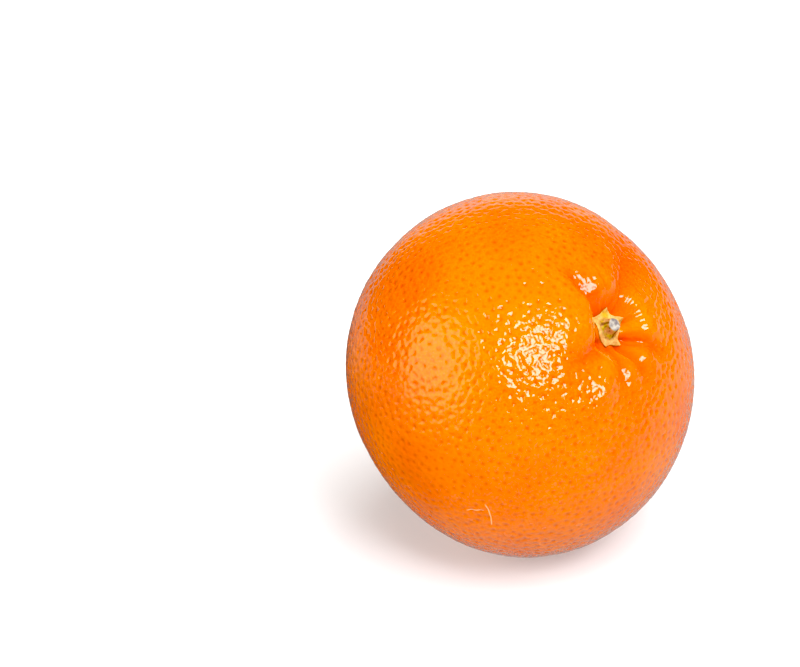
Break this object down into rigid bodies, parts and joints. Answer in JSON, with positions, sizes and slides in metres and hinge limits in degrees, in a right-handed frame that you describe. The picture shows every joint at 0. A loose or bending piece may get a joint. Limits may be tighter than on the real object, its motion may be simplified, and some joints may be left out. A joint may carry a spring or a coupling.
{
  "type": "mandarin",
  "caption": "Whole ripe mandarin with glossy pitted orange peel, a creased stem end, a dried star-shaped calyx and a short cut stem, resting tilted.",
  "frame": {"origin": "middle of the small flat rest spot, on the peel's outside", "axes": "-Z out of the rest spot, straight down; the stem end leans towards -Y; +X is across the fruit, its longest extent"},
  "size_m": [0.0654, 0.0614, 0.0628],
  "materials": {
    "peel": "gloss",
    "dry_calyx": "matte",
    "stem_bark": "matte"
  },
  "bodies": {
    "root": {"fruit": "peel", "calyx": "dry_calyx", "stem": "stem_bark"}
  },
  "joints": []
}
